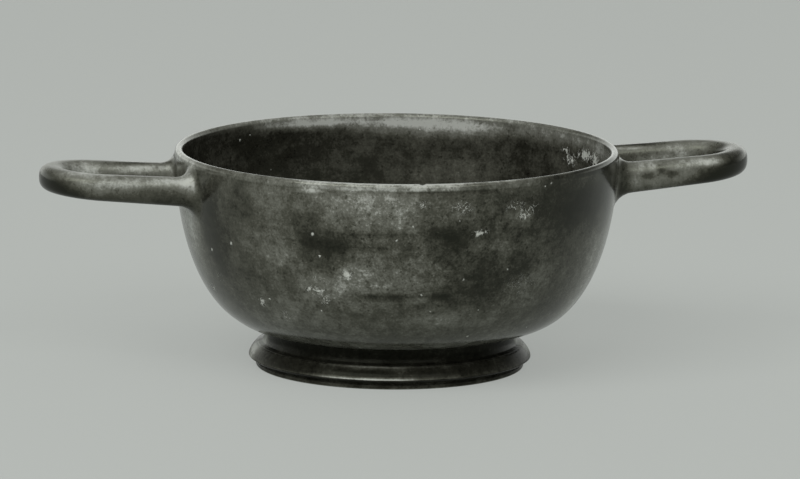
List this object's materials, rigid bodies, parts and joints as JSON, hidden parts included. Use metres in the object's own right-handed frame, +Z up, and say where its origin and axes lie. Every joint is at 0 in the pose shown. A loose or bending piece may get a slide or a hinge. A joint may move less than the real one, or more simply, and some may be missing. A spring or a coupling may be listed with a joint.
{
  "type": "kylix cup",
  "caption": "Stemless kylix, a deep two-handled drinking bowl of black-gloss pottery on a moulded ring foot, with level horseshoe handles under the lip.",
  "frame": {"origin": "on the bowl's vertical axis, in the plane that the foot rests on", "axes": "+Z up along the bowl's axis; X runs through both handles; +Y away from the side that shows its worn front"},
  "size_m": [0.2202, 0.135, 0.0669],
  "materials": {
    "black_gloss": "worn black gloss slip, satin to glossy, mottled, with pale lime specks and light wheel marks"
  },
  "bodies": {
    "root": {"cup": "black_gloss"}
  },
  "joints": []
}
